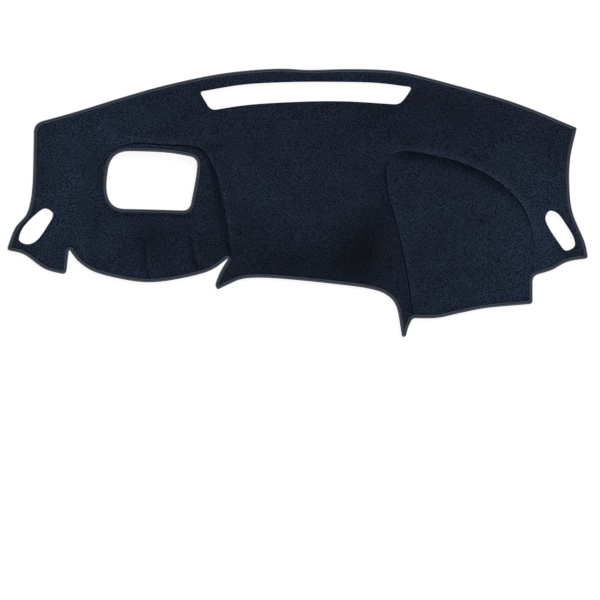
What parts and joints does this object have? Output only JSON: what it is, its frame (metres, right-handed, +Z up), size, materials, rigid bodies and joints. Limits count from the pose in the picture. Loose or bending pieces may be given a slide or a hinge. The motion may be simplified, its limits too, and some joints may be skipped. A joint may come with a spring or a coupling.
{
  "type": "dashboard cover mat",
  "caption": "Plush fabric mat cut and sewn to lie on a car dashboard, with a defroster slot, side vent slots, a display window, inset hood and passenger panels and a bound edge.",
  "frame": {"origin": "middle of the mat's box, on the surface that the mat lies on", "axes": "+X along the dashboard to the right-hand wing, +Y towards the windscreen, +Z up out of the pile side"},
  "size_m": [1.4006, 0.6474, 0.0122],
  "materials": {
    "plush_cloth": "short dense pile, near-black navy",
    "binding_tape": "plain woven polyester tape"
  },
  "bodies": {
    "root": {"main_panel": "plush_cloth", "driver_panel": "plush_cloth", "passenger_panel": "plush_cloth", "outer_edge_binding": "binding_tape", "window_edge_binding": "binding_tape"}
  },
  "joints": []
}
